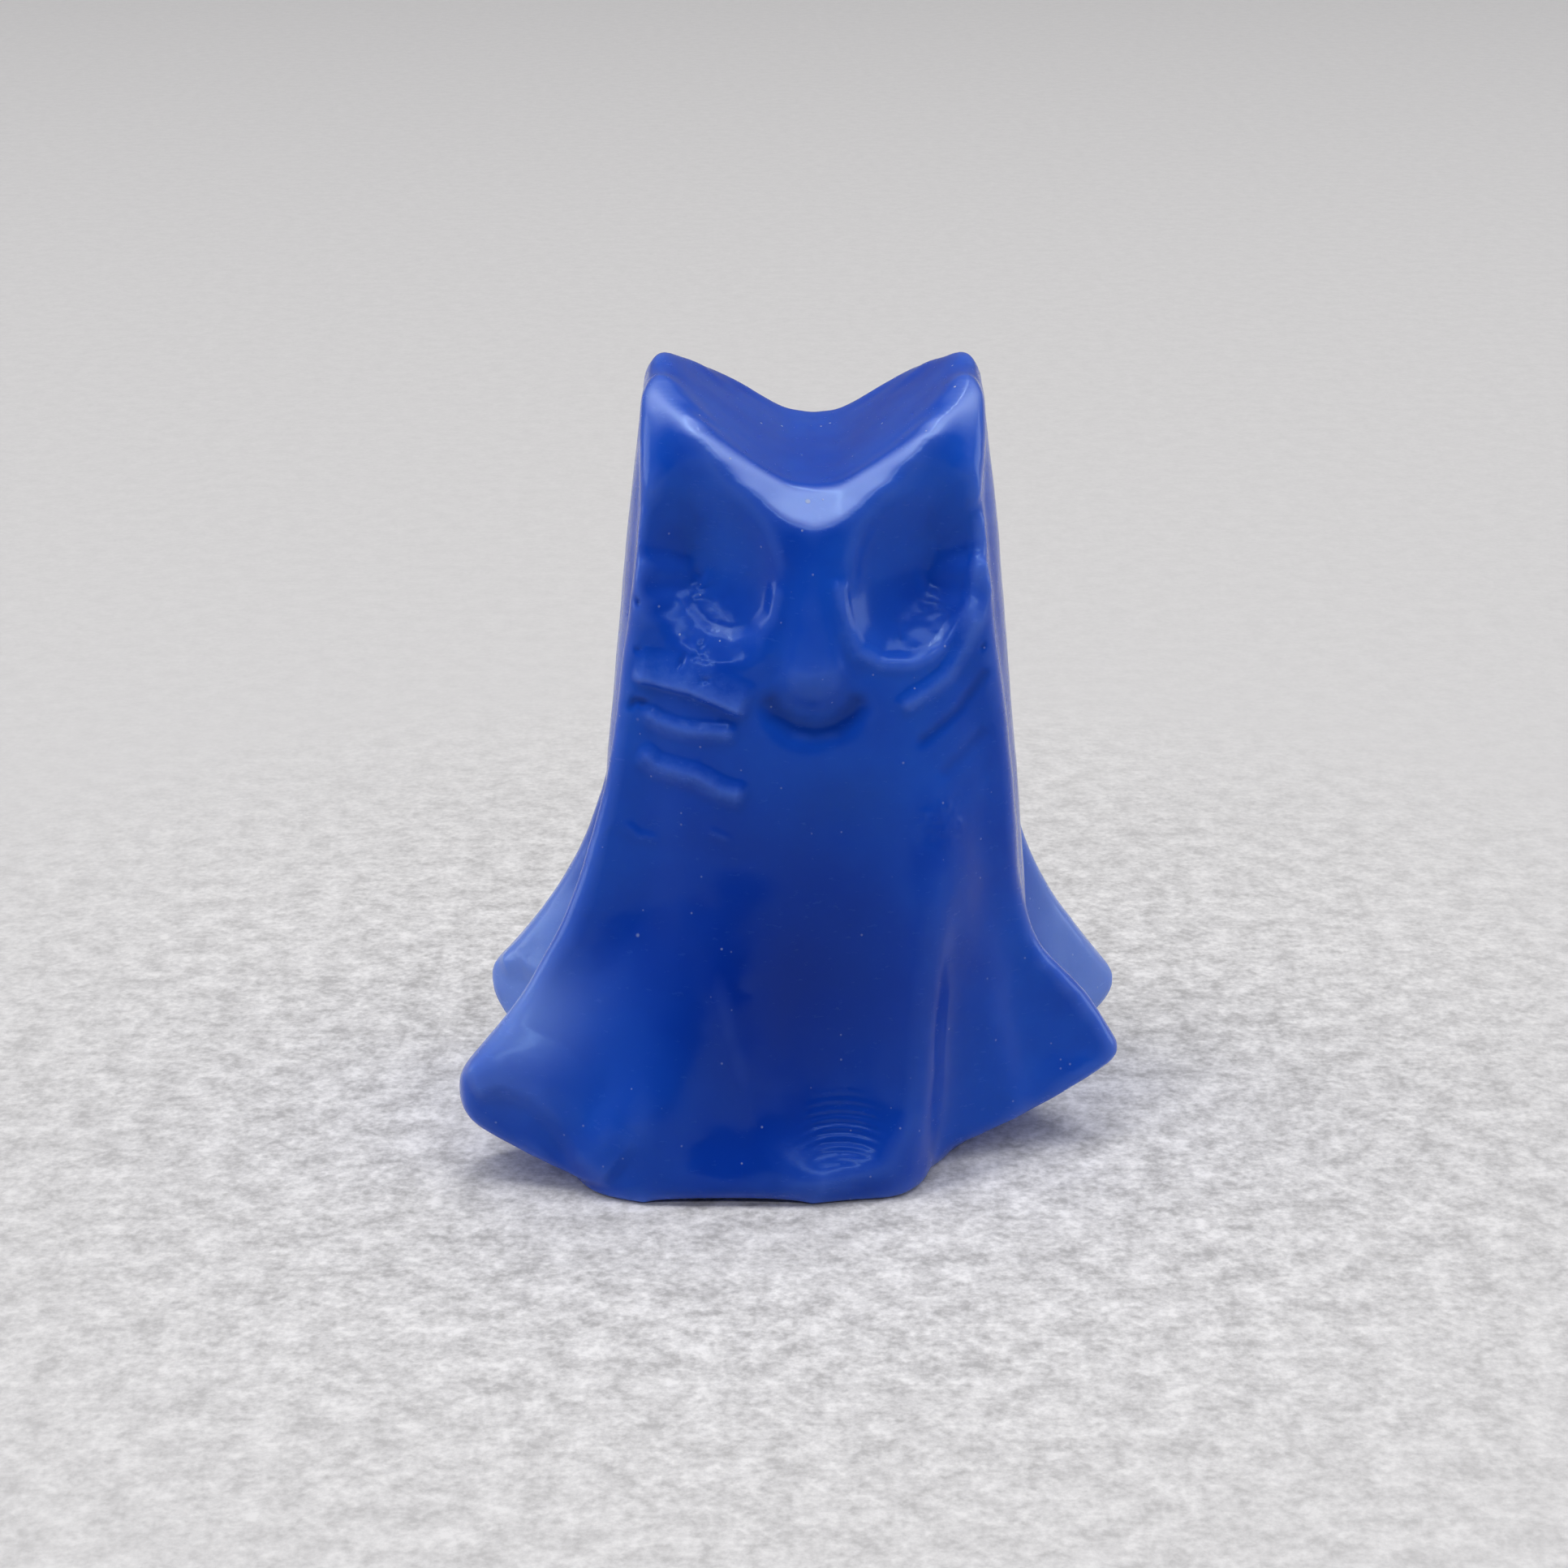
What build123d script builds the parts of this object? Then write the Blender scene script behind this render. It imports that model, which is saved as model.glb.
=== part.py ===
from build123d import *
import math
import os
from typing import NamedTuple

import numpy as np

# Small ghost figure, moulded in one piece. Millimetres, +Z up, the face looks along -Y.
# The skin is found by casting rays outwards from the upright axis of the figure. Each
# ring of hits becomes one closed spline, and the rings are lofted into a single solid.
# Angles are in degrees, anticlockwise from +X seen from above, so 270 is the front.

# ---- body -------------------------------------------------------------------------
# (height, half size) of the plain body before folds are added
BODY_HALF_WIDTH = [(0, 8.6), (1, 7.9), (2.2, 7.6), (5, 7.25), (8, 6.95), (11, 6.7),
                   (15, 6.3), (20, 5.8), (23, 5.45), (25, 5.2), (27, 4.8)]
BODY_FRONT_DEPTH = [(0, 9.6), (0.7, 8.3), (1.4, 7.25), (2.8, 6.4), (5, 5.8), (10, 5.35),
                    (16, 4.95), (20, 4.4), (22, 4.05), (24, 3.75), (25.2, 2.9), (26.2, 1.4)]
BODY_BACK_DEPTH = [(0, 8.4), (0.8, 7.5), (1.6, 6.9), (3, 6.3), (5, 5.7), (10, 5.2),
                   (15, 4.9), (20, 4.5), (22.5, 4.1), (24, 3.9), (25.2, 3.1), (26.2, 1.6)]
# (height, exponent): 2 is an ellipse, larger is boxier
BODY_SQUARENESS = [(0, 2.2), (8, 2.4), (14, 2.7), (20, 3.0), (24, 3.0), (27, 2.6)]

# ---- crown ------------------------------------------------------------------------
# (distance from the middle, height) of the saddle between the two ears
SADDLE = [(0, 22.6), (0.8, 22.72), (1.6, 23.15), (2.9, 24.03), (4.0, 24.93), (4.6, 25.48),
          (5.2, 25.9), (6, 26.2)]
SADDLE_TILT = 0.09            # rise per millimetre towards the back
CROWN_EDGE_BLEND = 0.32
EAR_EXTRA_BLEND = 0.9         # added to the edge blend at the ear tips
EAR_BLEND_START = 3.4
EAR_BLEND_SPAN = 1.6
BROW_START_DEPTH = 3.3        # where the bevel above the eyes leaves the crown
BROW_BLEND = 0.12
# (height, factor): the corner folds thin out as they run up into the ears
FOLD_ROOT_SHRINK = [(0, 1), (20, 1), (23.5, 0.8), (26.2, 0.25)]

# ---- hem --------------------------------------------------------------------------
# (angle, radius) of the near-vertical band that ends the skirt
HEM_RADIUS = [(5, 8.7), (17, 9.7), (27, 11.6), (35, 11.2), (50, 9.2), (72, 8.1), (92, 7.2),
              (112, 8.1), (130, 9.2), (146, 11.4), (155, 11.9), (165, 10.2), (180, 8.8),
              (192, 10.0), (201, 11.8), (207.5, 12.2), (212, 11.15), (218.5, 10.1),
              (226, 9.35), (246, 8.3), (260, 7.55), (280, 7.05), (293, 7.2), (302, 6.8),
              (311, 6.1), (327, 6.95), (339, 8.9), (346, 10.1), (352, 9.8)]
HEM_FLARE = 0.06              # outward lean of the band per millimetre of height
HEM_BLEND = 0.3
# (angle, radius) where the underside leaves the ground
LIFT_RADIUS = [(0, 5.6), (15, 7.0), (29, 8.4), (72, 7.4), (112, 7.4), (154, 8.6), (180, 7.6),
               (195, 8.0), (207, 8.5), (235, 9.2), (262, 9.4), (284, 9.0), (300, 7.4),
               (315, 5.6), (340, 5.4)]
LIFT_SLOPE = 0.6
LIFT_BLEND = 0.5
BASE_ROUND = 0.3              # radius between the resting face and the hem


class Fold(NamedTuple):
    """An upright fold of the cloth, wedge-shaped in plan."""

    angles: list              # (height, angle)
    reach: list               # (height, distance of the crest from the axis)
    root: float               # half thickness at the axis
    tip: float                # radius of the crest


class Capsule(NamedTuple):
    """A round bar between two points with its own radius at each end."""

    start: tuple
    end: tuple
    start_radius: float
    end_radius: float
    blend: float


class Dish(NamedTuple):
    """An ellipsoid that leans about Y, in degrees."""

    centre: tuple
    radii: tuple
    lean: float
    blend: float


CORNER_ROOT = 4.0
PLEAT_ROOT = 2.6
FOLD_BLEND = 0.6
PLEAT_BACK_REACH = [(0, 10.6), (1.2, 8.9), (2.5, 7.9), (5, 6.8), (9, 5.8), (13, 4.6), (26, 3)]

FOLDS = {
    "front_left_corner": Fold(
        [(3.6, 207.9), (8.2, 208.3), (14.6, 210.3), (19.9, 213.7), (22.9, 209), (25.1, 194)],
        [(0, 16.2), (2, 14.2), (3.6, 12.6), (5.6, 10.8), (8.2, 9.0), (11.4, 7.75), (14.6, 7.05),
         (17.2, 6.75), (19.9, 6.4), (22.9, 5.8), (25.1, 5.05)],
        CORNER_ROOT, 0.5),
    "front_left_pleat": Fold(
        [(0, 264), (1.5, 262), (3.6, 253.5), (6.1, 247), (12, 245)],
        [(0, 8.8), (0.9, 7.7), (1.5, 7.35), (3.6, 6.85), (6.1, 6.4), (9, 5.7), (13, 4.5), (26, 3)],
        PLEAT_ROOT, 1.3),
    "front_right_pleat": Fold(
        [(0, 298), (2.1, 299.8), (5.3, 303.3), (7.9, 307.5), (9.7, 309.5), (12, 311)],
        [(0, 8.8), (1, 7.75), (2.1, 7.45), (5.3, 7.35), (7.9, 7.25), (9.7, 7.0), (10.9, 6.6),
         (14, 5.5), (26, 3)],
        PLEAT_ROOT, 1.25),
    "front_right_corner": Fold(
        [(3.4, 347), (5.2, 344.8), (7.1, 340), (8.7, 336.8), (13.3, 333), (18.7, 325.5),
         (22.9, 329), (25.1, 346)],
        [(0, 12.6), (2.4, 11.1), (3.5, 10.2), (5.2, 9.15), (7.1, 7.7), (8.7, 7.15), (11.4, 6.85),
         (14.5, 6.75), (19.9, 6.3), (22.9, 5.75), (25.1, 5.0)],
        CORNER_ROOT, 0.5),
    "back_right_corner": Fold(
        [(5, 29), (12, 31), (20, 31), (23.5, 27), (25.7, 12)],
        [(0, 14.0), (2.0, 12.6), (3.2, 11.5), (4.2, 10.7), (6, 9.4), (8, 8.3), (11, 7.5),
         (15, 6.85), (20, 6.3), (23.5, 5.7), (25.1, 5.1)],
        CORNER_ROOT, 0.9),
    "back_right_pleat": Fold([(0, 72), (12, 75)], PLEAT_BACK_REACH, PLEAT_ROOT, 0.9),
    "back_left_pleat": Fold([(0, 112), (12, 115)], PLEAT_BACK_REACH, PLEAT_ROOT, 0.9),
    "back_left_corner": Fold(
        [(5, 154), (12, 149), (20, 149), (23.5, 153), (25.7, 168)],
        [(0, 14.6), (2.0, 13.2), (3.2, 12.1), (4.2, 11.2), (6, 9.8), (8, 8.7), (11, 7.75),
         (15, 6.95), (20, 6.3), (23.5, 5.7), (25.1, 5.1)],
        CORNER_ROOT, 0.9),
}

# cloth thrown forward over the front left corner: the widest lobe, and the drape beside it
SHEETS = [
    Capsule((-3.0, -1.2, 7.0), (-10.6, -5.5, 2.0), 3.0, 1.6, 0.9),
    Capsule((-2.4, -2.4, 8.0), (-6.6, -7.4, -0.6), 2.5, 1.2, 1.6),
]

# hollows between the folds
VALLEYS = [
    Capsule((0.7, -9.5, 3.6), (1.1, -7.0, 12.0), 3.2, 1.9, 1.1),
    Capsule((7.0, -7.5, -1.0), (5.9, -7.7, 8.0), 2.5, 1.4, 2.0),
    Capsule((-6.9, -8.9, 4.4), (-5.0, -6.9, 10.0), 1.7, 1.0, 1.4),
]

# ---- face -------------------------------------------------------------------------
NOSE_BRIDGE = Capsule((0.0, -3.1, 21.6), (0.0, -4.25, 16.7), 0.95, 1.2, 0.25)
EYE_SIDES = (-1, 1)
EYE_SOCKET = Dish((3.0, -6.2, 20.1), (2.45, 2.9, 3.45), 8, 0.22)
EYE_CORNER = Dish((3.85, -5.4, 20.4), (1.4, 2.6, 2.7), 6, 0.8)
CHEEK_HOLLOW = Dish((3.2, -7.0, 19.4), (2.9, 2.45, 4.0), 8, 0.2)
MOUTH_CREASE = Dish((0.0, -5.7, 15.8), (1.75, 1.25, 1.05), 0, 0.2)

# ---- how finely the skin is followed ------------------------------------------------
RING_POINTS = 132
# (angle, half span, extra density): points crowd together where the folds stick out
POINT_CROWDING = [(207, 7, 2.2), (347, 8, 1.6), (29, 8, 1.6), (154, 8, 1.6), (0, 9, 1.0),
                  (180, 9, 1.0), (308, 8, 1.0)]
FIRST_ANGLE = 90
HUB_HEIGHT = 18.0             # rays fan upwards from this point on the axis
RAY_LENGTH = 16.0
RAY_HALVINGS = 32
HEM_RING_STEP = 0.3
HEM_RING_TOP = 5.1
BODY_RING_STEP = 0.45
FAN_STEP = 3
FAN_TOP = 87


def through(knots, at, period=None):
    """Smooth curve through (position, value) knots, flat at every peak and dip."""
    places = np.array([k[0] for k in knots], float)
    values = np.array([k[1] for k in knots], float)
    if period:
        places = np.concatenate([places[-2:] - period, places, places[:2] + period])
        values = np.concatenate([values[-2:], values, values[:2]])
        at = places[2] + np.mod(at - places[2], period)
    steps = np.diff(places)
    slopes = np.diff(values) / steps
    bends = np.zeros(len(places))
    bends[0] = slopes[0]
    bends[-1] = slopes[-1]
    same_way = slopes[:-1] * slopes[1:] > 0
    mean = (slopes[:-1] * steps[1:] + slopes[1:] * steps[:-1]) / (steps[:-1] + steps[1:])
    bends[1:-1] = np.where(same_way, mean, 0)
    at = np.clip(at, places[0], places[-1])
    i = np.clip(np.searchsorted(places, at, side="right") - 1, 0, len(steps) - 1)
    t = (at - places[i]) / steps[i]
    rise = values[i + 1] - values[i]
    start = bends[i] * steps[i]
    finish = bends[i + 1] * steps[i]
    return values[i] + t * (start + t * (3 * rise - 2 * start - finish
                                         + t * (start + finish - 2 * rise)))


def join(a, b, blend):
    """Union of two distance fields with a rounded inside corner."""
    mix = np.clip(0.5 + 0.5 * (b - a) / blend, 0, 1)
    return b + (a - b) * mix - blend * mix * (1 - mix)


def trim(a, b, blend):
    """Intersection of two distance fields with a rounded outside corner."""
    return -join(-a, -b, blend)


def body_field(x, y, z):
    half_width = through(BODY_HALF_WIDTH, z)
    half_depth = np.where(y < 0, through(BODY_FRONT_DEPTH, z), through(BODY_BACK_DEPTH, z))
    power = through(BODY_SQUARENESS, z)
    level = (np.abs(x) / half_width) ** power + (np.abs(y) / half_depth) ** power
    level = np.maximum(level, 1e-9) ** (1 / power)
    return (level - 1) * np.minimum(half_width, half_depth)


def fold_field(x, y, z, fold):
    angle = np.radians(through(fold.angles, z))
    along = x * np.cos(angle) + y * np.sin(angle)
    across = y * np.cos(angle) - x * np.sin(angle)
    crest = through(fold.reach, z) - fold.tip
    root = fold.root * through(FOLD_ROOT_SHRINK, z)
    t = np.clip(along / crest, 0, 1)
    return np.hypot(along - t * crest, across) - (root + (fold.tip - root) * t)


def capsule_field(x, y, z, bar):
    start = np.array(bar.start)
    run = np.array(bar.end) - start
    dx = x - start[0]
    dy = y - start[1]
    dz = z - start[2]
    t = np.clip((dx * run[0] + dy * run[1] + dz * run[2]) / run.dot(run), 0, 1)
    away = np.sqrt((dx - t * run[0]) ** 2 + (dy - t * run[1]) ** 2 + (dz - t * run[2]) ** 2)
    return away - (bar.start_radius + (bar.end_radius - bar.start_radius) * t)


def dish_field(x, y, z, dish, side=1):
    """Ellipsoid field; side -1 mirrors the dish to the other half of the face."""
    dx = side * x - dish.centre[0]
    dy = y - dish.centre[1]
    dz = z - dish.centre[2]
    lean = math.radians(dish.lean)
    dx, dz = (dx * math.cos(lean) - dz * math.sin(lean),
              dz * math.cos(lean) + dx * math.sin(lean))
    rx, ry, rz = dish.radii
    reach = np.sqrt((dx / rx) ** 2 + (dy / ry) ** 2 + (dz / rz) ** 2)
    slope = np.sqrt((dx / rx ** 2) ** 2 + (dy / ry ** 2) ** 2 + (dz / rz ** 2) ** 2)
    return reach * (reach - 1) / np.maximum(slope, 1e-6)


def add_skirt(field, x, y, z):
    """Folds, the hollows between them and the sheets of the front left drape."""
    for fold in FOLDS.values():
        field = join(field, fold_field(x, y, z, fold), FOLD_BLEND)
    for valley in VALLEYS:
        field = trim(field, -capsule_field(x, y, z, valley), valley.blend)
    for sheet in SHEETS:
        field = join(field, capsule_field(x, y, z, sheet), sheet.blend)
    return field


def cut_hem(field, x, y, z):
    """The hem band around the skirt, and the lifted underside of the lobes."""
    radius = np.hypot(x, y)
    angle = np.degrees(np.arctan2(y, x))
    band = radius - through(HEM_RADIUS, angle, 360) - HEM_FLARE * z
    field = trim(field, 0.85 * band, HEM_BLEND)
    lift = LIFT_SLOPE * np.maximum(radius - through(LIFT_RADIUS, angle, 360), 0)
    return trim(field, 0.85 * (lift - z), LIFT_BLEND)


def cut_crown(field, x, y, z):
    """The saddle between the ears and the bevel that forms the brow."""
    above = z - through(SADDLE, np.abs(x)) - SADDLE_TILT * y
    ear = np.clip((np.abs(x) - EAR_BLEND_START) / EAR_BLEND_SPAN, 0, 1)
    field = trim(field, 0.8 * above, CROWN_EDGE_BLEND + EAR_EXTRA_BLEND * ear)
    return trim(field, 0.66 * (above - y - BROW_START_DEPTH), BROW_BLEND)


def shape_face(field, x, y, z):
    """Eye sockets, cheeks, and the nose with a crescent-shaped crease under its tip."""
    for side in EYE_SIDES:
        for dish in (CHEEK_HOLLOW, EYE_SOCKET, EYE_CORNER):
            field = trim(field, -dish_field(x, y, z, dish, side), dish.blend)
    field = trim(field, -dish_field(x, y, z, MOUTH_CREASE), MOUTH_CREASE.blend)
    return join(field, capsule_field(x, y, z, NOSE_BRIDGE), NOSE_BRIDGE.blend)


def figure_field(x, y, z):
    """Negative inside the figure, positive outside."""
    field = add_skirt(body_field(x, y, z), x, y, z)
    field = cut_hem(field, x, y, z)
    field = shape_face(field, x, y, z)
    return cut_crown(field, x, y, z)


def cast(height, directions):
    """Skin points hit by rays that leave the axis at one height."""
    near = np.zeros(len(directions))
    far = np.full(len(directions), RAY_LENGTH)
    for _ in range(RAY_HALVINGS):
        middle = (near + far) / 2
        hit = directions * middle[:, None]
        inside = figure_field(hit[:, 0], hit[:, 1], hit[:, 2] + height) < 0
        near = np.where(inside, middle, near)
        far = np.where(inside, far, middle)
    return directions * near[:, None] + np.array([0, 0, height])


def ring_angles():
    """Angles of the ring points in radians, closer together at the lobes."""
    fine = np.linspace(0, 360, 1441)
    density = np.ones_like(fine)
    for centre, span, extra in POINT_CROWDING:
        away = np.mod(fine - centre + 180, 360) - 180
        density += extra * np.exp(-((away / span) ** 2))
    share = np.cumsum(density) - density[0]
    share /= share[-1]
    first = np.interp(FIRST_ANGLE, fine, share)
    wanted = np.mod(first + np.arange(RING_POINTS) / RING_POINTS, 1.0)
    return np.radians(np.interp(wanted, share, fine))


def base_rings(level):
    """Rings of the small rounding between the resting face and the hem."""
    rim = cast(BASE_ROUND, level)
    radius = np.hypot(rim[:, 0], rim[:, 1])
    rings = []
    for fall in (90, 60, 30):
        inset = BASE_ROUND * (1 - math.cos(math.radians(fall)))
        height = BASE_ROUND * (1 - math.sin(math.radians(fall)))
        ring = rim * ((radius - inset) / radius)[:, None]
        ring[:, 2] = height
        rings.append(ring)
    rings.append(rim)
    return rings


def skin_rings():
    """All rings from the resting face to just below the top of the crown."""
    angles = ring_angles()
    level = np.stack([np.cos(angles), np.sin(angles), np.zeros_like(angles)], axis=1)
    rings = base_rings(level)
    hem_heights = np.arange(2 * BASE_ROUND, HEM_RING_TOP, HEM_RING_STEP)
    body_count = round((HUB_HEIGHT - HEM_RING_TOP) / BODY_RING_STEP)
    body_heights = np.linspace(HEM_RING_TOP, HUB_HEIGHT, body_count, endpoint=False)
    for height in (*hem_heights, *body_heights):
        rings.append(cast(height, level))
    for elevation in np.radians(range(0, FAN_TOP, FAN_STEP)):
        fan = level * math.cos(elevation)
        fan[:, 2] = math.sin(elevation)
        rings.append(cast(HUB_HEIGHT, fan))
    return rings


def closed_wire(ring):
    """Closed spline through one ring; every ring shares the same spacing."""
    spacing = [i / RING_POINTS for i in range(RING_POINTS + 1)]
    points = [Vector(*point) for point in ring]
    return Wire([Edge.make_spline(points, periodic=True, parameters=spacing)])


def ghost_figure():
    """The whole figure, resting on the ground with its outline centred on the origin."""
    wires = [closed_wire(ring) for ring in skin_rings()]
    summit = cast(HUB_HEIGHT, np.array([[0.0, 0.0, 1.0]]))[0]
    figure = Solid.make_loft([*wires, Vertex(*summit)])
    box = figure.bounding_box()
    middle = box.center()
    return figure.moved(Location((-middle.X, -middle.Y, -box.min.Z)))


os.makedirs("parts", exist_ok=True)
export_step(ghost_figure(), "parts/ghost_figure.step")
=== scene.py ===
import math

import bpy
import numpy as np
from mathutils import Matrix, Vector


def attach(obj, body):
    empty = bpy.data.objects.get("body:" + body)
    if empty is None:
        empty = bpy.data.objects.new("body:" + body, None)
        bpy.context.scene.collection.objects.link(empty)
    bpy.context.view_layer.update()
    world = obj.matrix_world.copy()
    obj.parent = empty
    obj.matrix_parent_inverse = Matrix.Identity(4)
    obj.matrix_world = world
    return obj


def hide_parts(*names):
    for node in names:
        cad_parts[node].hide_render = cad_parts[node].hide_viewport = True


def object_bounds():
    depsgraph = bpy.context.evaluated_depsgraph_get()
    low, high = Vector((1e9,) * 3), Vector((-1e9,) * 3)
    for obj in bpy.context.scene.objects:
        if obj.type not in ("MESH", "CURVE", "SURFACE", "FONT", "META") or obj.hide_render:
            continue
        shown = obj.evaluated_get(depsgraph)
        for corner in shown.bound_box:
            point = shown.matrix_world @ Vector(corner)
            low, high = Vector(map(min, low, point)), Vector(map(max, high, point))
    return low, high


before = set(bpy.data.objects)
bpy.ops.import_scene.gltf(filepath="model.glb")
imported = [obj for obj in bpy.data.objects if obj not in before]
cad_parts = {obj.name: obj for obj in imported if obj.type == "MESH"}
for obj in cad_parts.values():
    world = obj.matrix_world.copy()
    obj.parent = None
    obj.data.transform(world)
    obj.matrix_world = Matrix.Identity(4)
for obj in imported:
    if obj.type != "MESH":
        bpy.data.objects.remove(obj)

import openvdb
from mathutils import Vector, noise

MM = 0.001
CAD_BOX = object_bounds()
NODE = "ghost_figure"

# ---- camera: level across, looking down on the front of the figure --------------------
CAMERA_TARGET = (-0.53, 3.63, 10.2)   # mm
CAMERA_DISTANCE = 110.0               # mm
CAMERA_PITCH = 20.0                   # degrees below the horizon
SENSOR = 36.0
PICTURE_PIXELS = 1932
PIXELS_PER_MM = 36.87                 # at the target

# ---- sculpting: lengths in mm; lines are (x, z) points on the front, left to right -----
VOXEL = 0.09                          # spacing of the sculpted skin
SKIN_BAND = 3.0                       # voxels kept on each side of the skin
SMOOTH_PASSES = 3
SMOOTH_WEIGHTS = (0.5, -0.52)         # inwards, then a little more outwards
EASE_WEIGHT = 0.5
EASE_CORE = 1.5                       # how steeply easing fades in from the edge of its reach
TRIANGLE_BUDGET = 190000
FLAT_FOOT = 0.6                       # height over which relief grows from the resting face up
LINE_END = 0.35                       # length over which a sculpted line fades out
FRONT_FACING = (1.6, 0.1)             # gain and offset of the share that faces the front
# Hand-made unevenness all over: (wavelength, height).
SWELLS = [(3.1, 0.05), (1.3, 0.016), (0.6, 0.006)]

# A ledge rises by `height` over `above` mm as it comes down, and falls back over `below` mm.
LEDGES = [
    # (line, height, above, below)
    ([(-5.2, 16.5), (-4.2, 16.35), (-3.3, 16.25), (-2.6, 16.0), (-1.6, 15.6)], 0.26, 1.0, 0.3),
    ([(-4.9, 15.5), (-4.3, 15.15), (-3.4, 15.0), (-1.9, 15.05)], 0.15, 0.3, 0.6),
    ([(-5.0, 14.2), (-4.4, 13.75), (-3.2, 13.6), (-2.4, 13.2), (-1.6, 13.05)], 0.17, 0.4, 0.7),
    ([(-5.5, 11.8), (-5.1, 11.35), (-4.3, 11.3)], 0.05, 0.2, 0.4),
    ([(-3.0, 11.9), (-2.0, 11.5)], 0.04, 0.2, 0.4),
    ([(-3.8, 18.9), (-3.4, 18.3), (-2.9, 17.85), (-2.1, 17.7), (-1.4, 17.95), (-0.9, 18.6),
      (-0.7, 19.6)], 0.07, 0.3, 0.5),
    ([(1.1, 19.8), (1.2, 19.0), (1.4, 18.2), (1.75, 17.55), (2.4, 17.2), (3.3, 17.15),
      (3.9, 17.3), (4.5, 17.8), (5.1, 18.7), (5.35, 19.9), (5.35, 21.5)], 0.10, 0.3, 0.5),
    ([(2.9, 15.7), (3.6, 16.1), (4.35, 16.6), (4.9, 17.4), (5.4, 18.6)], 0.14, 0.35, 0.5),
]
# Where the end of the widest lobe turns over: formed as a ledge, but not rubbed.
LOBE_END = ([(-10.4, 3.5), (-9.4, 3.9), (-8.3, 3.5), (-7.5, 2.7), (-6.8, 1.6), (-5.8, 0.9)],
            0.16, 1.7, 0.8)

# A groove is `depth` deep and `width` wide.
GROOVES = [
    # (line, depth, width)
    ([(-1.2, 16.3), (-0.75, 15.6), (-0.2, 15.2), (0.4, 15.05), (1.0, 15.2), (1.5, 15.6),
      (1.9, 16.3)], 0.10, 0.38),
    ([(3.4, 14.5), (4.0, 14.9), (4.8, 15.5), (5.3, 16.1), (5.8, 16.8)], 0.07, 0.22),
    ([(4.1, 13.4), (4.9, 14.0), (5.9, 14.9)], 0.05, 0.3),
    ([(-3.2, 17.3), (-2.9, 17.85)], 0.08, 0.07),
    ([(-3.75, 16.75), (-3.5, 17.4)], 0.10, 0.08),
    ([(-3.15, 16.5), (-2.6, 16.7)], 0.08, 0.07),
    ([(-3.3, 18.9), (-2.5, 19.3)], 0.03, 0.07),
    ([(3.0, 17.5), (3.0, 18.0)], 0.04, 0.05),
    ([(-5.15, 19.0), (-4.9, 18.6)], 0.10, 0.11),
    ([(-5.2, 17.4), (-4.8, 17.2)], 0.08, 0.10),
    ([(-5.4, 15.3), (-5.1, 15.7), (-4.5, 15.6)], 0.10, 0.14),
    ([(5.4, 17.25), (5.7, 17.6)], 0.08, 0.10),
]

# The soft ridge down the pleat left of the middle hollow and along the hollow's lower rim.
HOLLOW_RIM = [(-3.0, 9.0), (-2.35, 6.1), (-1.8, 3.6), (-1.1, 1.9), (-0.1, 1.0), (1.3, 0.9),
              (2.6, 1.3), (3.4, 2.8), (3.7, 4.5)]
HOLLOW_RIM_HEIGHT = 0.09
HOLLOW_RIM_WIDTH = 0.55
HOLLOW_RIM_END = 2.6

# A rough patch is pitted all over: (x, z), reach, height of the pitting.
PATCHES = [((4.4, 12.2), 0.75, 0.03), ((-3.6, 16.8), 1.1, 0.02), ((3.9, 18.5), 0.8, 0.012),
           ((-2.6, 18.7), 0.8, 0.012), ((-9.3, 4.1), 1.0, 0.012), ((8.9, 3.4), 1.1, 0.012)]
PATCH_GRAIN = 0.22
PATCH_CUTOFF = 2                      # reaches beyond which a patch is not worked out

# Ripples left on the floor of the middle hollow, as arcs around a point.
RIPPLE_CENTRE = (1.25, -1.2)
RIPPLE_MIDDLE = (1.25, 2.4)
RIPPLE_REACH = (1.5, 1.3)
RIPPLE_PITCH = 0.27
RIPPLE_HEIGHT = 0.018
RIPPLE_CORE = 1.6                     # how steeply the ripples fade in from their edge

# Painted shade over the thick middle of the body: (x, z) and reach of the dark zone.
CORE_MIDDLE = (-0.4, 6.8)
CORE_REACH = (5.6, 6.4)
# Painted light on the back lobes: beyond this distance from the middle they grow pale.
LIT_LOBE_FROM = 7.0
LIT_LOBE_OVER = 2.4
LIT_LOBE_BEHIND = 4                       # depth over which the paleness starts, front to back
# The top of the widest lobe in front gets painted light too: its middle (x, y, z) and reach.
LIT_LOBE_TOP = (-9.3, -5.0, 5.9)
LIT_LOBE_TOP_REACH = 2.1
# Ridges get a painted highlight and deep hollows painted shade.
# Ridges are found by comparing the skin with a copy relaxed this many times; one that
# stands this high above the copy counts in full.
CREST_PASSES = 60
CREST_HEIGHT = 0.14
# Wear: the relief that counts as fully rubbed, and how much a groove counts against it, which
# shows as painted shade in the groove.
WEAR_HEIGHT = 0.12
WEAR_OF_CUT = 0.6
# The bevel gets a painted highlight.
# The bevel between the crown and the brow: the upward part of its direction, the spread of
# that, the height where it starts, and the gain and offset of the share facing the front.
BROW_SLANT = 0.70
BROW_SPREAD = 0.35
BROW_FROM = 20.3
BROW_FACING = (3, 0.6)

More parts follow.
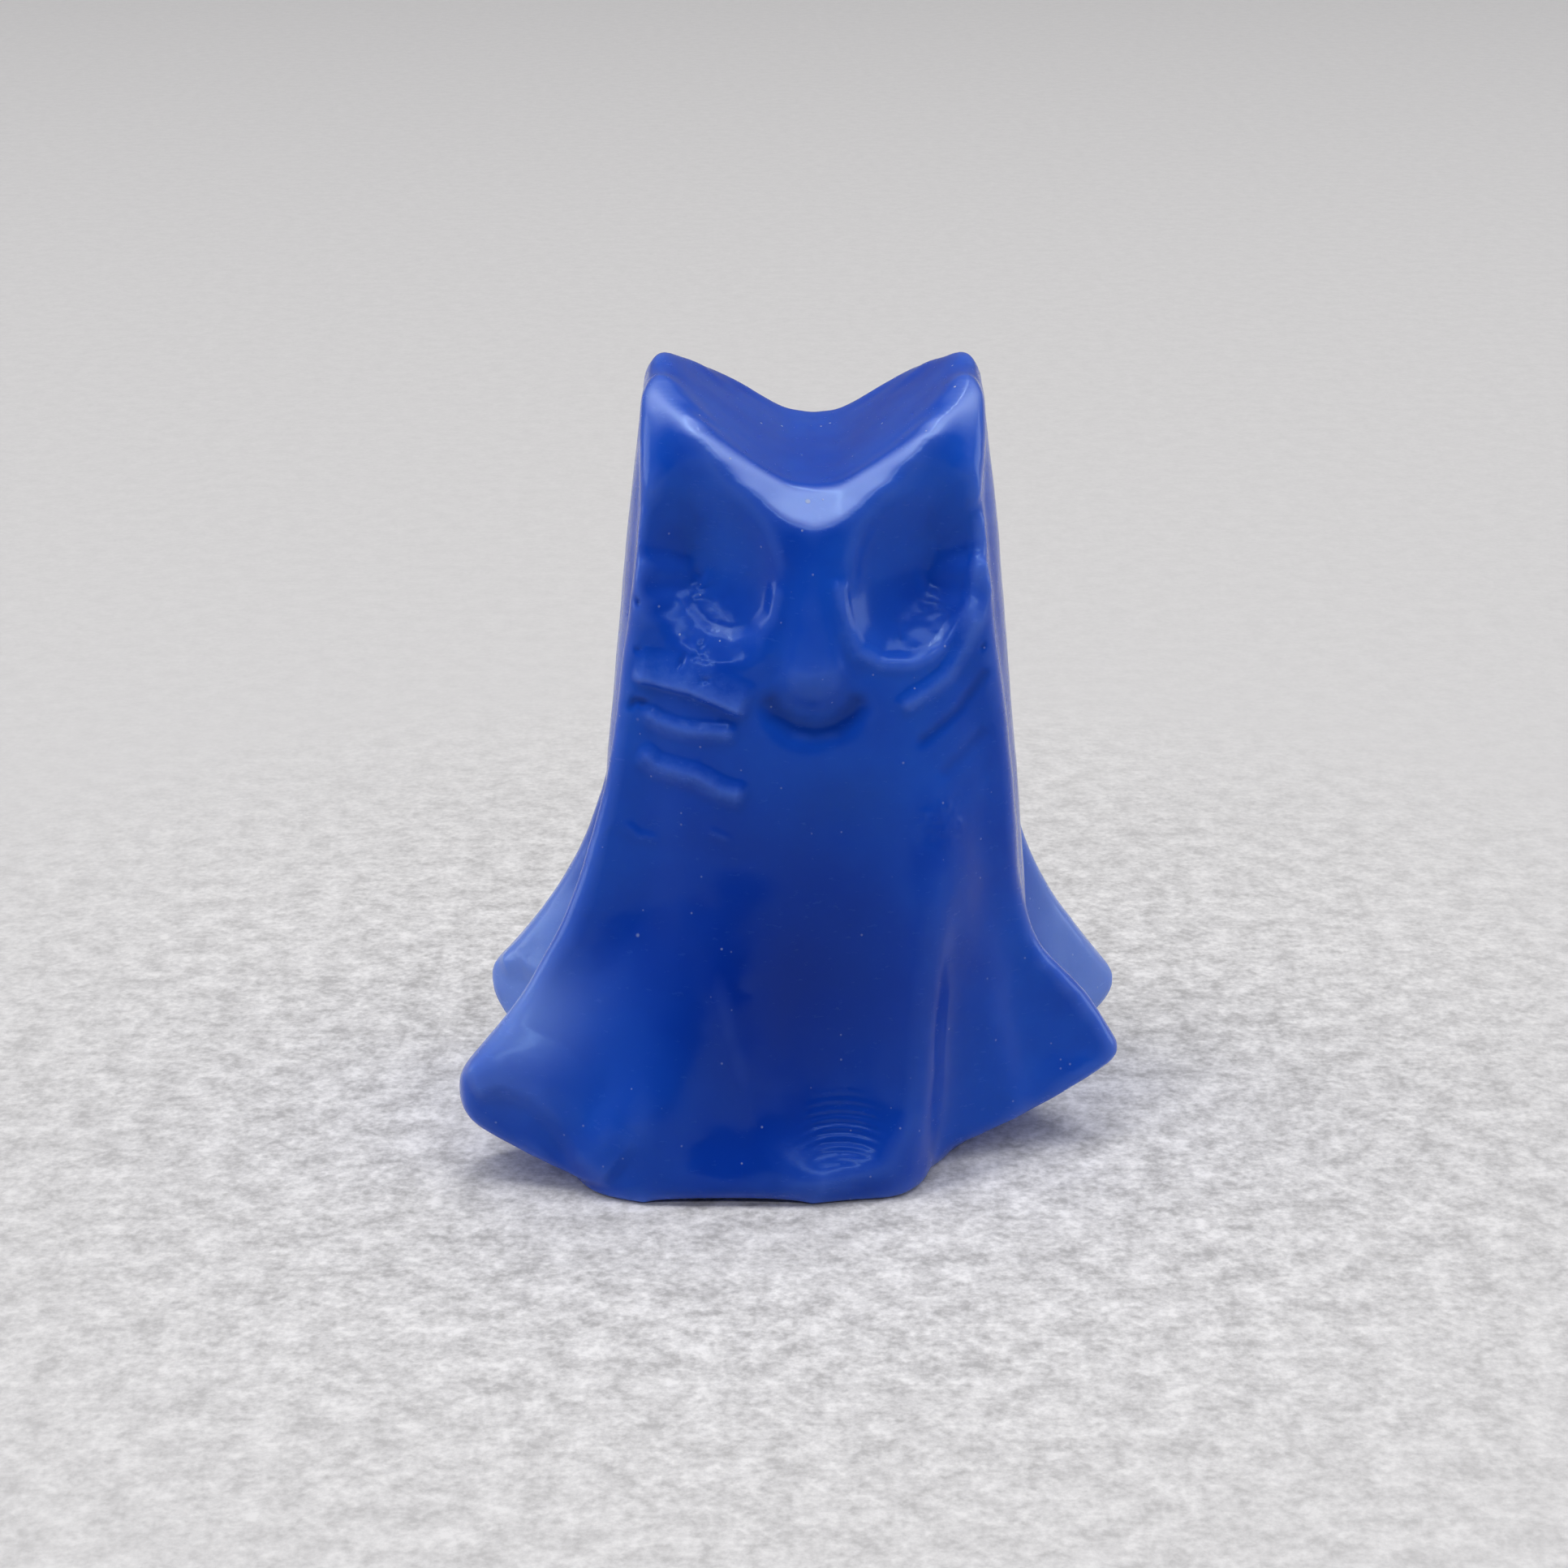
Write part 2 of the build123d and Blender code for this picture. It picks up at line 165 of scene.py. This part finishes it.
# Easing, as (middle (x, y, z), reach, passes): lightly all over, more on the skirt, and then
# place by place until the creases there are gone.
EASED = [
    ((0.0, 0.0, 12.0), 60.0, 5), ((0.0, 2.0, 4.0), 14.0, 14),
    ((5.6, -4.8, 14.5), 3.0, 30), ((-6.0, -4.8, 14.5), 3.0, 30),
    ((-2.3, -7.3, 1.5), 3.0, 600), ((4.3, -5.9, 3.5), 3.8, 160), ((4.5, -5.6, 8.5), 4.0, 160),
    ((4.9, -3.6, 21.0), 2.2, 40), ((-4.5, -3.6, 21.0), 2.2, 40), ((-4.5, -5.5, 5.0), 4.0, 60),
    ((0.4, -4.8, 15.2), 2.0, 200), ((-8.3, -5.4, 4.2), 3.0, 120),
]


# ======================= sculpted skin =======================

def node_mesh(node):
    """Corners in millimetres and triangles of a CAD node."""
    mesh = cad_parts[node].data
    mesh.calc_loop_triangles()
    corners = np.zeros(len(mesh.vertices) * 3, np.float32)
    mesh.vertices.foreach_get("co", corners)
    faces = np.zeros(len(mesh.loop_triangles) * 3, np.int32)
    mesh.loop_triangles.foreach_get("vertices", faces)
    return corners.reshape(-1, 3) / MM, faces.reshape(-1, 3).astype(np.uint32)


def even_skin(corners, faces):
    """The CAD surface rebuilt from even little squares that can be sculpted."""
    grid = openvdb.FloatGrid.createLevelSetFromPolygons(
        corners / VOXEL, triangles=faces, halfWidth=SKIN_BAND)
    points, _, quads = grid.convertToPolygons(isovalue=0.0, adaptivity=0.0)
    return points.astype(float) * VOXEL, quads[:, ::-1].astype(np.int64)


def edge_pairs(quads):
    """Every edge of the squares once, as pairs of corner numbers."""
    pairs = np.concatenate([quads[:, [i, (i + 1) % 4]] for i in range(4)])
    pairs.sort(axis=1)
    return np.unique(pairs, axis=0)


def neighbour_mean(points, pairs):
    """For each point, the middle of the points it shares an edge with."""
    total = np.zeros_like(points)
    count = np.zeros(len(points))
    for a, b in ((0, 1), (1, 0)):
        for axis in range(3):
            total[:, axis] += np.bincount(pairs[:, a], points[pairs[:, b], axis], len(points))
        count += np.bincount(pairs[:, a], minlength=len(points))
    return total / np.maximum(count, 1)[:, None]


def smoothed(points, pairs, passes):
    """Takes the voxel steps out without shrinking the figure."""
    for _ in range(passes):
        for weight in SMOOTH_WEIGHTS:
            points = points + weight * (neighbour_mean(points, pairs) - points)
    return points


def eased(points, pairs):
    """Smooths the skin around each named place."""
    points = points.copy()
    for middle, reach, passes in EASED:
        away = np.linalg.norm(points - np.array(middle), axis=1)
        near = away < reach + VOXEL * SKIN_BAND
        kept = np.flatnonzero(near)
        new_number = np.zeros(len(points), np.int64)
        new_number[kept] = np.arange(len(kept))
        links = new_number[pairs[near[pairs].all(axis=1)]]
        patch = points[kept]
        weight = EASE_WEIGHT * np.clip(EASE_CORE * (1 - away[kept] / reach), 0, 1)[:, None]
        for _ in range(passes):
            patch = patch + weight * (neighbour_mean(patch, links) - patch)
        points[kept] = patch
    return points


def vertex_normals(points, quads):
    """Outward direction at each point, averaged over the squares around it."""
    across = points[quads[:, 2]] - points[quads[:, 0]]
    along = points[quads[:, 3]] - points[quads[:, 1]]
    face = np.cross(across, along)
    normals = np.zeros_like(points)
    for corner in range(4):
        for axis in range(3):
            normals[:, axis] += np.bincount(quads[:, corner], face[:, axis], len(points))
    return normals / np.linalg.norm(normals, axis=1)[:, None]


def facing_front(normals, gain, offset):
    """1 where the skin faces the front, 0 at the sides and back."""
    return np.clip(-gain * normals[:, 1] - offset, 0, 1)


def rounded(share):
    """A 0 to 1 ramp with soft ends."""
    return share * share * (3 - 2 * share)


def from_line(points, line, end):
    """Distance of each point from a line seen from the front, positive above the line,
    and how much the line counts there: it fades out over `end` mm at both ends."""
    x = points[:, 0]
    z = points[:, 2]
    best = np.full(len(points), np.inf)
    side = np.ones(len(points))
    place = np.zeros(len(points))
    done = 0.0
    for (x0, z0), (x1, z1) in zip(line, line[1:]):
        length = math.hypot(x1 - x0, z1 - z0)
        ux = (x1 - x0) / length
        uz = (z1 - z0) / length
        along = (x - x0) * ux + (z - z0) * uz
        t = np.clip(along, 0, length)
        away = np.hypot(x - x0 - t * ux, z - z0 - t * uz)
        nearer = away < best
        best = np.where(nearer, away, best)
        side = np.where(nearer, np.sign((z - z0) * ux - (x - x0) * uz), side)
        place = np.where(nearer, done + t, place)
        done += length
    fade = np.clip(np.minimum(place, done - place) / min(end, done / 2), 0, 1)
    return best * side, fade


def fine_noise(points, wavelength):
    """Smooth noise between -1 and 1, the same in every run."""
    scaled = (points / wavelength).tolist()
    return np.array([noise.noise(Vector(p)) for p in scaled])


def ledge_height(points, line, height, above, below):
    """A step along a line, steepest below it."""
    away, fade = from_line(points, line, LINE_END)
    over = np.clip(1 - away / above, 0, 1)
    under = rounded(np.clip(1 + away / below, 0, 1))
    return height * fade * np.where(away > 0, over, under)


def line_height(points, line, height, width, end=LINE_END):
    """A round-topped welt along a line."""
    away, fade = from_line(points, line, end)
    return height * fade * np.exp(-(away / width) ** 2)


def patch_height(points, middle, reach, height):
    """Pits that thin out from the middle of a rough patch."""
    away = np.hypot(points[:, 0] - middle[0], points[:, 2] - middle[1])
    near = away < PATCH_CUTOFF * reach
    result = np.zeros(len(points))
    grain = fine_noise(points[near], PATCH_GRAIN)
    result[near] = height * grain * np.exp(-(away[near] / reach) ** 2)
    return result


def ripple_height(points):
    """Fine arcs on the floor of the middle hollow."""
    away = np.hypot(points[:, 0] - RIPPLE_CENTRE[0], points[:, 2] - RIPPLE_CENTRE[1])
    span = np.hypot((points[:, 0] - RIPPLE_MIDDLE[0]) / RIPPLE_REACH[0],
                    (points[:, 2] - RIPPLE_MIDDLE[1]) / RIPPLE_REACH[1])
    strength = np.clip(RIPPLE_CORE * (1 - span), 0, 1)
    return RIPPLE_HEIGHT * strength * np.sin(2 * math.pi * away / RIPPLE_PITCH)


def brow_highlight_share(points, normals):
    """Share of painted highlight: 1 on the bevel between the crown and the brow."""
    slanted = rounded(np.clip(1 - np.abs(normals[:, 2] - BROW_SLANT) / BROW_SPREAD, 0, 1))
    high = np.clip(points[:, 2] - BROW_FROM, 0, 1)
    return slanted * high * facing_front(normals, *BROW_FACING)


def crest_light_shade_share(points, pairs, normals):
    """Share of painted highlight and shade: 1 on sharp ridges, 0 where the skin is flat and -1
    in deep hollows.
    """
    relaxed = points
    for _ in range(CREST_PASSES):
        relaxed = relaxed + EASE_WEIGHT * (neighbour_mean(relaxed, pairs) - relaxed)
    standing = ((points - relaxed) * normals).sum(axis=1)
    return np.clip(standing / CREST_HEIGHT, -1, 1)


def rubbed_relief(points):
    """Ledges, rough patches and ripples: relief whose tops are rubbed."""
    raised = np.zeros(len(points))
    for ledge in LEDGES:
        raised += ledge_height(points, *ledge)
    for patch in PATCHES:
        raised += patch_height(points, *patch)
    raised += ripple_height(points)
    return raised


def formed_relief(points):
    """The lobe's turned-over end and the rim of the middle hollow, which are not rubbed."""
    formed = ledge_height(points, *LOBE_END)
    formed += line_height(points, HOLLOW_RIM, HOLLOW_RIM_HEIGHT, HOLLOW_RIM_WIDTH,
                          HOLLOW_RIM_END)
    return formed


def groove_depth(points):
    cut = np.zeros(len(points))
    for groove in GROOVES:
        cut += line_height(points, *groove)
    return cut


def sculpted(points, normals):
    """Moves the skin along its normals, and returns it with how rubbed each place is, negative
    in the grooves for their painted shade.
    """
    front = facing_front(normals, *FRONT_FACING)
    raised = rubbed_relief(points)
    cut = groove_depth(points)
    move = front * (raised + formed_relief(points) - cut)
    for wavelength, height in SWELLS:
        move += height * fine_noise(points, wavelength)
    off_foot = np.clip(points[:, 2] / FLAT_FOOT, 0, 1)
    # Positive where rubbed; negative in grooves, where the material paints shade.
    worn_and_groove_shade = np.clip(front * (raised - WEAR_OF_CUT * cut) / WEAR_HEIGHT, -1, 1)
    return points + (move * off_foot)[:, None] * normals, worn_and_groove_shade


def within_box(points):
    """Keeps the sculpted skin inside the box of the CAD figure."""
    low, high = (np.array(corner) / MM for corner in CAD_BOX)
    return np.clip(points, low, high)


def core_shade_share(points):
    """Share of painted shade: 1 at the thick middle of the body and 0 at its thin edges."""
    return np.exp(-((points[:, 0] - CORE_MIDDLE[0]) / CORE_REACH[0]) ** 2
                  - ((points[:, 2] - CORE_MIDDLE[1]) / CORE_REACH[1]) ** 2)


def lit_lobe_share(points):
    """Share of painted light: 1 out in the thin lobes, mostly behind, and on top of the widest
    lobe in front.
    """
    reach = np.clip((np.hypot(points[:, 0], points[:, 1]) - LIT_LOBE_FROM) / LIT_LOBE_OVER, 0, 1)
    behind = reach * np.clip(0.5 + points[:, 1] / LIT_LOBE_BEHIND, 0, 1)
    away = np.linalg.norm(points - np.array(LIT_LOBE_TOP), axis=1)
    return np.maximum(behind, np.exp(-(away / LIT_LOBE_TOP_REACH) ** 2))


def piece_from(name, points, quads, marks):
    """A mesh object in metres, with one named number per point for each mark."""
    mesh = bpy.data.meshes.new(name)
    mesh.from_pydata((points * MM).tolist(), [], quads.tolist())
    mesh.shade_smooth()
    for title, values in marks.items():
        layer = mesh.attributes.new(title, "FLOAT", "POINT")
        layer.data.foreach_set("value", values.astype(np.float32))
    piece = bpy.data.objects.new(name, mesh)
    bpy.context.scene.collection.objects.link(piece)
    return piece


def within_budget(piece):
    """Thins the even mesh where the skin is flat, and keeps it where it curves."""
    thin = piece.modifiers.new("thin", "DECIMATE")
    triangles = 2 * len(piece.data.polygons)
    thin.ratio = min(1.0, TRIANGLE_BUDGET / triangles)
    graph = bpy.context.evaluated_depsgraph_get()
    mesh = bpy.data.meshes.new_from_object(piece.evaluated_get(graph))
    piece.modifiers.clear()
    piece.data = mesh
    mesh.shade_smooth()


def sculpted_figure():
    """The visible figure, with the marks that its material reads."""
    corners, faces = node_mesh(NODE)
    points, quads = even_skin(corners, faces)
    pairs = edge_pairs(quads)
    points = eased(smoothed(points, pairs, SMOOTH_PASSES), pairs)
    normals = vertex_normals(points, quads)
    brow = brow_highlight_share(points, normals)
    points, worn_and_groove_shade = sculpted(points, normals)
    points = within_box(points)
    crest_light_shade = crest_light_shade_share(points, pairs, vertex_normals(points, quads))
    # Apart from the rubbed wear, these marks carry painted shade and painted light for the
    # material.
    marks = {"wear_and_groove_shade": worn_and_groove_shade, "core_shade": core_shade_share(points), "thin": lit_lobe_share(points),
             "crest_light_shade": crest_light_shade, "brow": brow}
    piece = piece_from("ghost_skin", points, quads, marks)
    within_budget(piece)
    return piece


# ======================= materials =======================

class Nodes:
    """Short calls for building one material's node tree."""

    def __init__(self, name):
        self.material = bpy.data.materials.new(name)
        self.material.use_nodes = True
        self.tree = self.material.node_tree
        self.shader = self.tree.nodes["Principled BSDF"]
        self.place = self.tree.nodes.new("ShaderNodeTexCoord").outputs["Object"]

    def put(self, value, socket):
        if isinstance(value, bpy.types.NodeSocket):
            self.tree.links.new(value, socket)
        else:
            socket.default_value = value

    def math(self, operation, *values):
        made = self.tree.nodes.new("ShaderNodeMath")
        made.operation = operation
        for value, socket in zip(values, made.inputs):
            self.put(value, socket)
        return made.outputs[0]

    def noise(self, wavelength, detail=2.0, roughness=0.5, stretch=(1, 1, 1)):
        """Noise around 0.5 with a wavelength in millimetres."""
        mapped = self.tree.nodes.new("ShaderNodeMapping")
        self.put(self.place, mapped.inputs["Vector"])
        mapped.inputs["Scale"].default_value = stretch
        made = self.tree.nodes.new("ShaderNodeTexNoise")
        self.put(mapped.outputs[0], made.inputs["Vector"])
        made.inputs["Scale"].default_value = 1 / (wavelength * MM)
        made.inputs["Detail"].default_value = detail
        made.inputs["Roughness"].default_value = roughness
        return made.outputs["Fac"]

    def specks(self, spacing, size, share):
        """1 inside small round specks: about one cell in `share` holds a speck."""
        made = self.tree.nodes.new("ShaderNodeTexVoronoi")
        self.put(self.place, made.inputs["Vector"])
        made.inputs["Scale"].default_value = 1 / (spacing * MM)
        near = self.remap(made.outputs["Distance"], size / spacing, 0.6 * size / spacing, 0, 1)
        pick = self.tree.nodes.new("ShaderNodeSeparateColor")
        self.put(made.outputs["Color"], pick.inputs[0])
        chosen = self.math("LESS_THAN", pick.outputs[0], share)
        return self.math("MULTIPLY", near, chosen)

    def remap(self, value, low, high, to_low, to_high):
        made = self.tree.nodes.new("ShaderNodeMapRange")
        self.put(value, made.inputs["Value"])
        for name, number in (("From Min", low), ("From Max", high),
                             ("To Min", to_low), ("To Max", to_high)):
            made.inputs[name].default_value = number
        return made.outputs["Result"]

    def mix(self, share, first, second):
        made = self.tree.nodes.new("ShaderNodeMix")
        made.data_type = "RGBA"
        self.put(share, made.inputs["Factor"])
        self.put(first, made.inputs["A"])
        self.put(second, made.inputs["B"])
        return made.outputs["Result"]

    def bump(self, height, depth, normal=None):
        """Relief `depth` millimetres deep for a height between 0 and 1."""
        made = self.tree.nodes.new("ShaderNodeBump")
        made.inputs["Strength"].default_value = 1.0
        made.inputs["Distance"].default_value = depth * MM
        self.put(height, made.inputs["Height"])
        if normal:
            self.put(normal, made.inputs["Normal"])
        return made.outputs[0]

    def attribute(self, name):
        made = self.tree.nodes.new("ShaderNodeAttribute")
        made.attribute_name = name
        return made.outputs["Fac"]

    def facing_up(self):
        """The upward part of the surface direction, 1 on top and -1 underneath."""
        geometry = self.tree.nodes.new("ShaderNodeNewGeometry")
        parts = self.tree.nodes.new("ShaderNodeSeparateXYZ")
        self.put(geometry.outputs["Normal"], parts.inputs[0])
        return parts.outputs["Z"]


# Colours of the plastic: its own cloudy and rubbed tones, with painted shade for the thick
# middle, hollows and grooves and painted light for the lobes, ridges and bevel.
DEEP_BLUE = (0.0035, 0.048, 0.42, 1)
CLEAR_BLUE = (0.0070, 0.075, 0.52, 1)
RUBBED_BLUE = (0.060, 0.150, 0.60, 1)
# Painted shade for the thick middle of the body.
CORE_SHADE_BLUE = (0.0008, 0.019, 0.25, 1)
# Painted shade in the grooves.
GROOVE_SHADE_BLUE = (0.001, 0.012, 0.16, 1)
# Painted highlight on ridges and painted shade in deep hollows.
CREST_HIGHLIGHT_BLUE = (0.12, 0.23, 0.72, 1)
HOLLOW_SHADE_BLUE = (0.001, 0.022, 0.26, 1)
# Painted light on the back lobes and on top of the widest lobe in front.
LIT_LOBE_BLUE = (0.17, 0.28, 0.70, 1)
# Painted highlight on the bevel.
BROW_HIGHLIGHT_BLUE = (0.27, 0.38, 0.83, 1)
SHEEN = (0.45, 0.72, 1.0, 1)
DUST = (0.42, 0.48, 0.66, 1)
# Dust specks: (spacing in mm, size in mm, share of the cells that hold one).
FINE_DUST = (0.31, 0.045, 0.09)
COARSE_DUST = (1.7, 0.10, 0.12)
PLASTIC_IOR = 1.38
SCATTER_SHARE = 0.2
SCATTER_RADIUS = (0.1, 0.3, 1.0)      # red, green and blue
SCATTER_SCALE = 0.8                   # mm


def dust_specks(nodes):
    """Fine and coarse specks, most of them where the skin faces up."""
    specks = nodes.math("MAXIMUM", nodes.specks(*FINE_DUST), nodes.specks(*COARSE_DUST))
    upward = nodes.remap(nodes.facing_up(), 0.2, 0.9, 0.25, 1)
    return nodes.math("MULTIPLY", specks, upward)


def plastic_colour(nodes, dust):
    """Cloudy blue, paler where rubbed, with painted shade in the thick middle, hollows and
    grooves and painted light on the thin lobes, ridges and bevel.
    """
    cloud = nodes.remap(nodes.noise(4.0, 3.0), 0.35, 0.65, 0, 1)
    colour = nodes.mix(cloud, DEEP_BLUE, CLEAR_BLUE)
    # Painted shade over the thick middle of the body.
    colour = nodes.mix(nodes.attribute("core_shade"), colour, CORE_SHADE_BLUE)
    # Painted light on the thin lobes at the back and on top of the widest front lobe.
    colour = nodes.mix(nodes.remap(nodes.attribute("thin"), 0, 1, 0, 0.75), colour, LIT_LOBE_BLUE)
    crest_light_shade = nodes.attribute("crest_light_shade")
    # Painted highlight on the ridges and painted shade in the hollows.
    colour = nodes.mix(nodes.remap(crest_light_shade, 0.15, 1.0, 0, 0.5), colour, CREST_HIGHLIGHT_BLUE)
    colour = nodes.mix(nodes.remap(crest_light_shade, -0.1, -1.0, 0, 0.5), colour, HOLLOW_SHADE_BLUE)
    # Painted highlight on the bevel between the crown and the brow.
    colour = nodes.mix(nodes.remap(nodes.attribute("brow"), 0, 1, 0, 0.8), colour, BROW_HIGHLIGHT_BLUE)
    wear_and_groove_shade = nodes.attribute("wear_and_groove_shade")
    rubbed = nodes.remap(wear_and_groove_shade, 0.15, 1.0, 0, 0.3)
    patchy = nodes.remap(nodes.noise(0.35, 4.0, 0.65), 0.40, 0.62, 0.35, 1)
    colour = nodes.mix(nodes.math("MULTIPLY", rubbed, patchy), colour, RUBBED_BLUE)
    # Painted shade in the grooves.
    colour = nodes.mix(nodes.remap(wear_and_groove_shade, -0.1, -0.8, 0, 0.8), colour, GROOVE_SHADE_BLUE)
    return nodes.mix(dust, colour, DUST)


def plastic_roughness(nodes, dust):
    """Gloss that wanders a little, dulled by upright scuffs and by dust."""
    scuffs = nodes.remap(nodes.noise(0.5, 4.0, 0.7, (1, 1, 3)), 0.60, 0.75, 0, 0.22)
    wander = nodes.remap(nodes.noise(2.2, 3.0), 0.3, 0.7, 0.15, 0.25)
    scuffed = nodes.math("ADD", wander, scuffs)
    return nodes.math("ADD", scuffed, nodes.math("MULTIPLY", dust, 0.5))


def plastic_relief(nodes, dust):
    """Slight dimples, a fine grain, and dust that stands proud."""
    relief = nodes.bump(nodes.noise(0.9, 3.0), 0.012)
    relief = nodes.bump(nodes.noise(0.12, 2.0), 0.0016, relief)
    return nodes.bump(dust, 0.015, relief)


def blue_plastic():
    """Slightly see-through gloss plastic."""
    nodes = Nodes("blue_plastic")
    shader = nodes.shader.inputs
    dust = dust_specks(nodes)
    nodes.put(plastic_colour(nodes, dust), shader["Base Color"])
    nodes.put(plastic_roughness(nodes, dust), shader["Roughness"])
    nodes.put(plastic_relief(nodes, dust), shader["Normal"])
    shader["IOR"].default_value = PLASTIC_IOR
    shader["Specular Tint"].default_value = SHEEN
    shader["Subsurface Weight"].default_value = SCATTER_SHARE
    shader["Subsurface Radius"].default_value = SCATTER_RADIUS
    shader["Subsurface Scale"].default_value = SCATTER_SCALE * MM
    return nodes.material


PAPER_DARK = (0.44, 0.43, 0.43, 1)
PAPER_PALE = (0.86, 0.845, 0.84, 1)
GRAIN_NEAR = 14                       # mm from the figure: full grain up to here,
GRAIN_FAR = 45                        # and only the last of it from here on
GRAIN_LAST = 0.12


def paper():
    """Pale uncoated paper with a fine mottled grain that fades into the distance."""
    nodes = Nodes("paper")
    shader = nodes.shader.inputs
    grain = nodes.math("ADD", nodes.noise(0.30, 4.0, 0.65), nodes.noise(1.1, 3.0, 0.6))
    mottled = nodes.remap(grain, 0.75, 1.25, 0, 1)
    away = nodes.tree.nodes.new("ShaderNodeVectorMath")
    away.operation = "LENGTH"
    nodes.put(nodes.place, away.inputs[0])
    strength = nodes.remap(away.outputs["Value"], GRAIN_NEAR * MM, GRAIN_FAR * MM,
                           1.0, GRAIN_LAST)
    mottled = nodes.math("MULTIPLY_ADD", nodes.math("SUBTRACT", mottled, 0.5), strength, 0.5)
    nodes.put(nodes.mix(mottled, PAPER_DARK, PAPER_PALE), shader["Base Color"])
    shader["Roughness"].default_value = 0.95
    shader["Specular IOR Level"].default_value = 0.1
    return nodes.material


# ======================= stage =======================

# (name, place in mm, width and height of the panel in mm, power in watts)
LIGHTS = [("key", (-20, -215, 750), 1200, 230, 2.9),
          ("overhead", (-40, 40, 780), 900, 26, 2.3),
          ("front_window", (-40, -600, 530), 900, 26, 1.3),
          ("left_panel", (-750, 80, 140), 480, 300, 1.15),
          ("right_panel", (750, 80, 140), 480, 300, 1.15)]
LIGHT_AIM = (0, 0, 12)                # mm
FLOOR_SIZE = 3.0                      # m
# Strength of the surroundings towards the front and back, and what the sides add.
SKY_FRONT = 0.03
SKY_BACK = 0.24
SKY_SIDES = 0.25
SKY_COLOUR = (0.95, 0.96, 1.0, 1)


def add_floor():
    bpy.ops.mesh.primitive_plane_add(size=FLOOR_SIZE, location=(0, 0, 0))
    floor = bpy.context.object
    floor.name = "paper_floor"
    floor.data.materials.append(paper())


def add_soft_light(name, place, width, height, power):
    light = bpy.data.lights.new(name, "AREA")
    light.shape = "RECTANGLE"
    light.size = width * MM
    light.size_y = height * MM
    light.energy = power
    lamp = bpy.data.objects.new(name, light)
    bpy.context.scene.collection.objects.link(lamp)
    lamp.location = Vector(place) * MM
    aim = Vector(LIGHT_AIM) * MM - lamp.location
    lamp.rotation_mode = "QUATERNION"
    lamp.rotation_quaternion = aim.to_track_quat("-Z", "Y")


def ramp_node(tree, source, low, high, dim, bright):
    """Goes from `dim` to `bright` while the source goes from `low` to `high`."""
    ramp = tree.nodes.new("ShaderNodeMapRange")
    tree.links.new(source, ramp.inputs["Value"])
    for name, number in (("From Min", low), ("From Max", high),
                         ("To Min", dim), ("To Max", bright)):
        ramp.inputs[name].default_value = number
    return ramp.outputs["Result"]


def add_sky():
    """Even studio surroundings: pale at the sides and back, darker in front."""
    world = bpy.data.worlds.new("studio")
    bpy.context.scene.world = world
    world.use_nodes = True
    tree = world.node_tree
    facing = tree.nodes.new("ShaderNodeSeparateXYZ")
    tree.links.new(tree.nodes.new("ShaderNodeTexCoord").outputs["Generated"], facing.inputs[0])
    sideways = tree.nodes.new("ShaderNodeMath")
    sideways.operation = "ABSOLUTE"
    tree.links.new(facing.outputs["X"], sideways.inputs[0])
    total = tree.nodes.new("ShaderNodeMath")
    total.operation = "ADD"
    depth = ramp_node(tree, facing.outputs["Y"], -0.9, 0.0, SKY_FRONT, SKY_BACK)
    sides = ramp_node(tree, sideways.outputs[0], 0.45, 0.95, 0.0, SKY_SIDES)
    tree.links.new(depth, total.inputs[0])
    tree.links.new(sides, total.inputs[1])
    sky = tree.nodes["Background"]
    sky.inputs["Color"].default_value = SKY_COLOUR
    tree.links.new(total.outputs[0], sky.inputs["Strength"])


def add_lights():
    for name, place, width, height, power in LIGHTS:
        add_soft_light(name, place, width, height, power)
    add_sky()


def add_camera():
    camera = bpy.data.cameras.new("camera")
    holder = bpy.data.objects.new("camera", camera)
    bpy.context.scene.collection.objects.link(holder)
    pitch = math.radians(CAMERA_PITCH)
    ahead = Vector((0, math.cos(pitch), -math.sin(pitch)))
    holder.location = (Vector(CAMERA_TARGET) - ahead * CAMERA_DISTANCE) * MM
    holder.rotation_euler = (math.pi / 2 - pitch, 0, 0)
    camera.sensor_width = SENSOR
    camera.lens = SENSOR * PIXELS_PER_MM * CAMERA_DISTANCE / PICTURE_PIXELS
    camera.clip_start = MM
    camera.dof.use_dof = False
    bpy.context.scene.camera = holder


figure = sculpted_figure()
figure.data.materials.append(blue_plastic())
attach(figure, "root")
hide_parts(NODE)

add_floor()
add_lights()
add_camera()
bpy.context.scene.view_settings.view_transform = "Standard"
